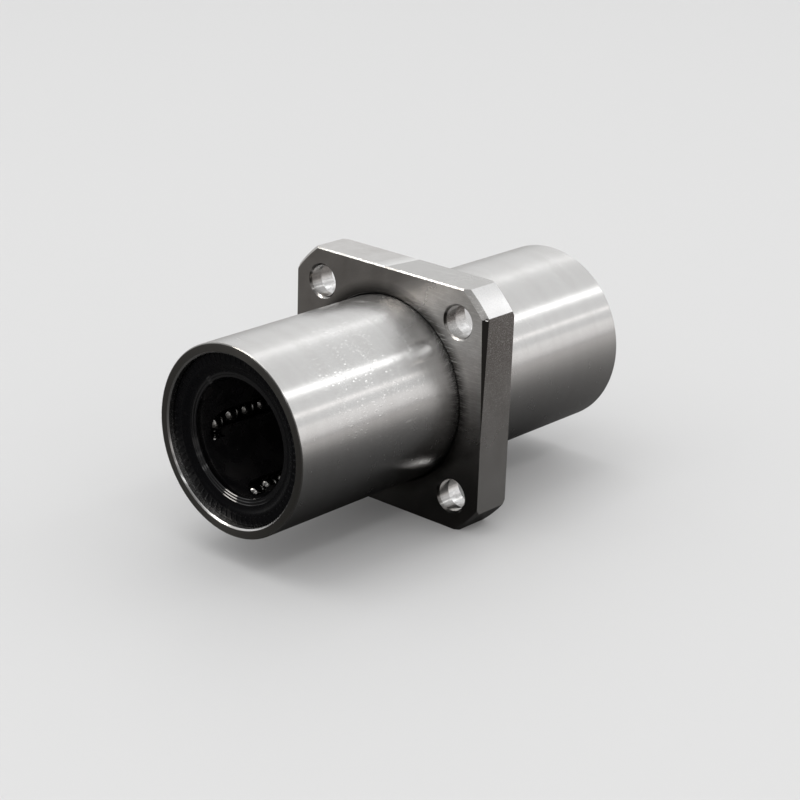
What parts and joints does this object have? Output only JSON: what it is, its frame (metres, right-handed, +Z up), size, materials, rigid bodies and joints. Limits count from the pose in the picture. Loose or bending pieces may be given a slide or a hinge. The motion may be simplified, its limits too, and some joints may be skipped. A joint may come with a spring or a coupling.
{
  "type": "linear ball bushing",
  "caption": "Long round linear ball bushing with recirculating balls, end seals and a square four-hole flange round its middle.",
  "frame": {"origin": "on the bore axis in the flange's middle plane, which is the centre of the whole part", "axes": "+X along the bore towards the counterbored side of the flange, +Z up, square to the flange's flat top edge; Y completes the frame"},
  "size_m": [0.08, 0.042, 0.042],
  "materials": {
    "ground_steel": "ground bearing steel, polished along the bore axis, thinly oiled",
    "milled_steel": "satin turned faces and milled edges",
    "retainer_resin": "black moulded resin, oiled",
    "seal_rubber": "black nitrile rubber, satin",
    "spring_steel": "dark tempered spring steel",
    "ball_steel": "mirror-polished bearing steel"
  },
  "bodies": {
    "bushing": {"outer_cylinder": "ground_steel", "square_flange": "milled_steel", "ball_retainer_left": "retainer_resin", "ball_retainer_right": "retainer_resin", "end_ring_left": "spring_steel", "end_ring_right": "spring_steel", "end_seal_left": "seal_rubber", "end_seal_right": "seal_rubber"},
    "left_load_row_1": {"left_load_row_1": "ball_steel"},
    "left_return_row_1": {"left_return_row_1": "ball_steel"},
    "left_end_turn_1": {"left_end_turn_1": "ball_steel"},
    "left_middle_turn_1": {"left_middle_turn_1": "ball_steel"},
    "left_load_row_2": {"left_load_row_2": "ball_steel"},
    "left_return_row_2": {"left_return_row_2": "ball_steel"},
    "left_end_turn_2": {"left_end_turn_2": "ball_steel"},
    "left_middle_turn_2": {"left_middle_turn_2": "ball_steel"},
    "left_load_row_3": {"left_load_row_3": "ball_steel"},
    "left_return_row_3": {"left_return_row_3": "ball_steel"},
    "left_end_turn_3": {"left_end_turn_3": "ball_steel"},
    "left_middle_turn_3": {"left_middle_turn_3": "ball_steel"},
    "left_load_row_4": {"left_load_row_4": "ball_steel"},
    "left_return_row_4": {"left_return_row_4": "ball_steel"},
    "left_end_turn_4": {"left_end_turn_4": "ball_steel"},
    "left_middle_turn_4": {"left_middle_turn_4": "ball_steel"},
    "left_load_row_5": {"left_load_row_5": "ball_steel"},
    "left_return_row_5": {"left_return_row_5": "ball_steel"},
    "left_end_turn_5": {"left_end_turn_5": "ball_steel"},
    "left_middle_turn_5": {"left_middle_turn_5": "ball_steel"},
    "right_load_row_1": {"right_load_row_1": "ball_steel"},
    "right_return_row_1": {"right_return_row_1": "ball_steel"},
    "right_end_turn_1": {"right_end_turn_1": "ball_steel"},
    "right_middle_turn_1": {"right_middle_turn_1": "ball_steel"},
    "right_load_row_2": {"right_load_row_2": "ball_steel"},
    "right_return_row_2": {"right_return_row_2": "ball_steel"},
    "right_end_turn_2": {"right_end_turn_2": "ball_steel"},
    "right_middle_turn_2": {"right_middle_turn_2": "ball_steel"},
    "right_load_row_3": {"right_load_row_3": "ball_steel"},
    "right_return_row_3": {"right_return_row_3": "ball_steel"},
    "right_end_turn_3": {"right_end_turn_3": "ball_steel"},
    "right_middle_turn_3": {"right_middle_turn_3": "ball_steel"},
    "right_load_row_4": {"right_load_row_4": "ball_steel"},
    "right_return_row_4": {"right_return_row_4": "ball_steel"},
    "right_end_turn_4": {"right_end_turn_4": "ball_steel"},
    "right_middle_turn_4": {"right_middle_turn_4": "ball_steel"},
    "right_load_row_5": {"right_load_row_5": "ball_steel"},
    "right_return_row_5": {"right_return_row_5": "ball_steel"},
    "right_end_turn_5": {"right_end_turn_5": "ball_steel"},
    "right_middle_turn_5": {"right_middle_turn_5": "ball_steel"}
  },
  "joints": [
    {"name": "left_load_slide_1", "type": "slide", "parent": "bushing", "child": "left_load_row_1", "axis": [1, 0, 0], "range_m": [-0.00179, 0.00179]},
    {"name": "left_return_slide_1", "type": "slide", "parent": "bushing", "child": "left_return_row_1", "axis": [1, 0, 0], "range_m": [-0.0018, 0.0018]},
    {"name": "left_end_turn_hinge_1", "type": "hinge", "parent": "bushing", "child": "left_end_turn_1", "pos_m": [-0.03094, 0.01133, -0.00358], "axis": [0, 0.9969, -0.0784], "range_deg": [-45.2, 45.2]},
    {"name": "left_middle_turn_hinge_1", "type": "hinge", "parent": "bushing", "child": "left_middle_turn_1", "pos_m": [-0.00587, 0.01133, -0.00358], "axis": [0, 0.9969, -0.0784], "range_deg": [-45.2, 45.2]},
    {"name": "left_load_slide_2", "type": "slide", "parent": "bushing", "child": "left_load_row_2", "axis": [1, 0, 0], "range_m": [-0.00179, 0.00179]},
    {"name": "left_return_slide_2", "type": "slide", "parent": "bushing", "child": "left_return_row_2", "axis": [1, 0, 0], "range_m": [-0.0018, 0.0018]},
    {"name": "left_end_turn_hinge_2", "type": "hinge", "parent": "bushing", "child": "left_end_turn_2", "pos_m": [-0.03094, 0.00691, 0.00967], "axis": [0, 0.3826, 0.9239], "range_deg": [-45.2, 45.2]},
    {"name": "left_middle_turn_hinge_2", "type": "hinge", "parent": "bushing", "child": "left_middle_turn_2", "pos_m": [-0.00587, 0.00691, 0.00967], "axis": [0, 0.3826, 0.9239], "range_deg": [-45.2, 45.2]},
    {"name": "left_load_slide_3", "type": "slide", "parent": "bushing", "child": "left_load_row_3", "axis": [1, 0, 0], "range_m": [-0.00179, 0.00179]},
    {"name": "left_return_slide_3", "type": "slide", "parent": "bushing", "child": "left_return_row_3", "axis": [1, 0, 0], "range_m": [-0.0018, 0.0018]},
    {"name": "left_end_turn_hinge_3", "type": "hinge", "parent": "bushing", "child": "left_end_turn_3", "pos_m": [-0.03094, -0.00706, 0.00956], "axis": [0, -0.7605, 0.6494], "range_deg": [-45.2, 45.2]},
    {"name": "left_middle_turn_hinge_3", "type": "hinge", "parent": "bushing", "child": "left_middle_turn_3", "pos_m": [-0.00587, -0.00706, 0.00956], "axis": [0, -0.7605, 0.6494], "range_deg": [-45.2, 45.2]},
    {"name": "left_load_slide_4", "type": "slide", "parent": "bushing", "child": "left_load_row_4", "axis": [1, 0, 0], "range_m": [-0.00179, 0.00179]},
    {"name": "left_return_slide_4", "type": "slide", "parent": "bushing", "child": "left_return_row_4", "axis": [1, 0, 0], "range_m": [-0.0018, 0.0018]},
    {"name": "left_end_turn_hinge_4", "type": "hinge", "parent": "bushing", "child": "left_end_turn_4", "pos_m": [-0.03094, -0.01128, -0.00376], "axis": [0, -0.8526, -0.5226], "range_deg": [-45.2, 45.2]},
    {"name": "left_middle_turn_hinge_4", "type": "hinge", "parent": "bushing", "child": "left_middle_turn_4", "pos_m": [-0.00587, -0.01128, -0.00376], "axis": [0, -0.8526, -0.5226], "range_deg": [-45.2, 45.2]},
    {"name": "left_load_slide_5", "type": "slide", "parent": "bushing", "child": "left_load_row_5", "axis": [1, 0, 0], "range_m": [-0.00179, 0.00179]},
    {"name": "left_return_slide_5", "type": "slide", "parent": "bushing", "child": "left_return_row_5", "axis": [1, 0, 0], "range_m": [-0.0018, 0.0018]},
    {"name": "left_end_turn_hinge_5", "type": "hinge", "parent": "bushing", "child": "left_end_turn_5", "pos_m": [-0.03094, 0.00009, -0.01189], "axis": [0, 0.2335, -0.9724], "range_deg": [-45.2, 45.2]},
    {"name": "left_middle_turn_hinge_5", "type": "hinge", "parent": "bushing", "child": "left_middle_turn_5", "pos_m": [-0.00587, 0.00009, -0.01189], "axis": [0, 0.2335, -0.9724], "range_deg": [-45.2, 45.2]},
    {"name": "right_load_slide_1", "type": "slide", "parent": "bushing", "child": "right_load_row_1", "axis": [1, 0, 0], "range_m": [-0.00179, 0.00179]},
    {"name": "right_return_slide_1", "type": "slide", "parent": "bushing", "child": "right_return_row_1", "axis": [1, 0, 0], "range_m": [-0.0018, 0.0018]},
    {"name": "right_end_turn_hinge_1", "type": "hinge", "parent": "bushing", "child": "right_end_turn_1", "pos_m": [0.03094, 0.01133, -0.00358], "axis": [0, 0.9969, -0.0784], "range_deg": [-45.2, 45.2]},
    {"name": "right_middle_turn_hinge_1", "type": "hinge", "parent": "bushing", "child": "right_middle_turn_1", "pos_m": [0.00587, 0.01133, -0.00358], "axis": [0, 0.9969, -0.0784], "range_deg": [-45.2, 45.2]},
    {"name": "right_load_slide_2", "type": "slide", "parent": "bushing", "child": "right_load_row_2", "axis": [1, 0, 0], "range_m": [-0.00179, 0.00179]},
    {"name": "right_return_slide_2", "type": "slide", "parent": "bushing", "child": "right_return_row_2", "axis": [1, 0, 0], "range_m": [-0.0018, 0.0018]},
    {"name": "right_end_turn_hinge_2", "type": "hinge", "parent": "bushing", "child": "right_end_turn_2", "pos_m": [0.03094, 0.00691, 0.00967], "axis": [0, 0.3826, 0.9239], "range_deg": [-45.2, 45.2]},
    {"name": "right_middle_turn_hinge_2", "type": "hinge", "parent": "bushing", "child": "right_middle_turn_2", "pos_m": [0.00587, 0.00691, 0.00967], "axis": [0, 0.3826, 0.9239], "range_deg": [-45.2, 45.2]},
    {"name": "right_load_slide_3", "type": "slide", "parent": "bushing", "child": "right_load_row_3", "axis": [1, 0, 0], "range_m": [-0.00179, 0.00179]},
    {"name": "right_return_slide_3", "type": "slide", "parent": "bushing", "child": "right_return_row_3", "axis": [1, 0, 0], "range_m": [-0.0018, 0.0018]},
    {"name": "right_end_turn_hinge_3", "type": "hinge", "parent": "bushing", "child": "right_end_turn_3", "pos_m": [0.03094, -0.00706, 0.00956], "axis": [0, -0.7605, 0.6494], "range_deg": [-45.2, 45.2]},
    {"name": "right_middle_turn_hinge_3", "type": "hinge", "parent": "bushing", "child": "right_middle_turn_3", "pos_m": [0.00587, -0.00706, 0.00956], "axis": [0, -0.7605, 0.6494], "range_deg": [-45.2, 45.2]},
    {"name": "right_load_slide_4", "type": "slide", "parent": "bushing", "child": "right_load_row_4", "axis": [1, 0, 0], "range_m": [-0.00179, 0.00179]},
    {"name": "right_return_slide_4", "type": "slide", "parent": "bushing", "child": "right_return_row_4", "axis": [1, 0, 0], "range_m": [-0.0018, 0.0018]},
    {"name": "right_end_turn_hinge_4", "type": "hinge", "parent": "bushing", "child": "right_end_turn_4", "pos_m": [0.03094, -0.01128, -0.00376], "axis": [0, -0.8526, -0.5226], "range_deg": [-45.2, 45.2]},
    {"name": "right_middle_turn_hinge_4", "type": "hinge", "parent": "bushing", "child": "right_middle_turn_4", "pos_m": [0.00587, -0.01128, -0.00376], "axis": [0, -0.8526, -0.5226], "range_deg": [-45.2, 45.2]},
    {"name": "right_load_slide_5", "type": "slide", "parent": "bushing", "child": "right_load_row_5", "axis": [1, 0, 0], "range_m": [-0.00179, 0.00179]},
    {"name": "right_return_slide_5", "type": "slide", "parent": "bushing", "child": "right_return_row_5", "axis": [1, 0, 0], "range_m": [-0.0018, 0.0018]},
    {"name": "right_end_turn_hinge_5", "type": "hinge", "parent": "bushing", "child": "right_end_turn_5", "pos_m": [0.03094, 0.00009, -0.01189], "axis": [0, 0.2335, -0.9724], "range_deg": [-45.2, 45.2]},
    {"name": "right_middle_turn_hinge_5", "type": "hinge", "parent": "bushing", "child": "right_middle_turn_5", "pos_m": [0.00587, 0.00009, -0.01189], "axis": [0, 0.2335, -0.9724], "range_deg": [-45.2, 45.2]}
  ],
  "couplings": [
    {"joint": "left_return_slide_1", "follows": "left_load_slide_1", "ratio": -1},
    {"joint": "left_end_turn_hinge_1", "follows": "left_load_slide_1", "rad_per_m": 438.6},
    {"joint": "left_middle_turn_hinge_1", "follows": "left_load_slide_1", "rad_per_m": 438.6},
    {"joint": "left_return_slide_2", "follows": "left_load_slide_2", "ratio": -1},
    {"joint": "left_end_turn_hinge_2", "follows": "left_load_slide_2", "rad_per_m": 438.6},
    {"joint": "left_middle_turn_hinge_2", "follows": "left_load_slide_2", "rad_per_m": 438.6},
    {"joint": "left_return_slide_3", "follows": "left_load_slide_3", "ratio": -1},
    {"joint": "left_end_turn_hinge_3", "follows": "left_load_slide_3", "rad_per_m": 438.6},
    {"joint": "left_middle_turn_hinge_3", "follows": "left_load_slide_3", "rad_per_m": 438.6},
    {"joint": "left_return_slide_4", "follows": "left_load_slide_4", "ratio": -1},
    {"joint": "left_end_turn_hinge_4", "follows": "left_load_slide_4", "rad_per_m": 438.6},
    {"joint": "left_middle_turn_hinge_4", "follows": "left_load_slide_4", "rad_per_m": 438.6},
    {"joint": "left_return_slide_5", "follows": "left_load_slide_5", "ratio": -1},
    {"joint": "left_end_turn_hinge_5", "follows": "left_load_slide_5", "rad_per_m": 438.6},
    {"joint": "left_middle_turn_hinge_5", "follows": "left_load_slide_5", "rad_per_m": 438.6},
    {"joint": "right_return_slide_1", "follows": "right_load_slide_1", "ratio": -1},
    {"joint": "right_end_turn_hinge_1", "follows": "right_load_slide_1", "rad_per_m": 438.6},
    {"joint": "right_middle_turn_hinge_1", "follows": "right_load_slide_1", "rad_per_m": 438.6},
    {"joint": "right_return_slide_2", "follows": "right_load_slide_2", "ratio": -1},
    {"joint": "right_end_turn_hinge_2", "follows": "right_load_slide_2", "rad_per_m": 438.6},
    {"joint": "right_middle_turn_hinge_2", "follows": "right_load_slide_2", "rad_per_m": 438.6},
    {"joint": "right_return_slide_3", "follows": "right_load_slide_3", "ratio": -1},
    {"joint": "right_end_turn_hinge_3", "follows": "right_load_slide_3", "rad_per_m": 438.6},
    {"joint": "right_middle_turn_hinge_3", "follows": "right_load_slide_3", "rad_per_m": 438.6},
    {"joint": "right_return_slide_4", "follows": "right_load_slide_4", "ratio": -1},
    {"joint": "right_end_turn_hinge_4", "follows": "right_load_slide_4", "rad_per_m": 438.6},
    {"joint": "right_middle_turn_hinge_4", "follows": "right_load_slide_4", "rad_per_m": 438.6},
    {"joint": "right_return_slide_5", "follows": "right_load_slide_5", "ratio": -1},
    {"joint": "right_end_turn_hinge_5", "follows": "right_load_slide_5", "rad_per_m": 438.6},
    {"joint": "right_middle_turn_hinge_5", "follows": "right_load_slide_5", "rad_per_m": 438.6}
  ]
}
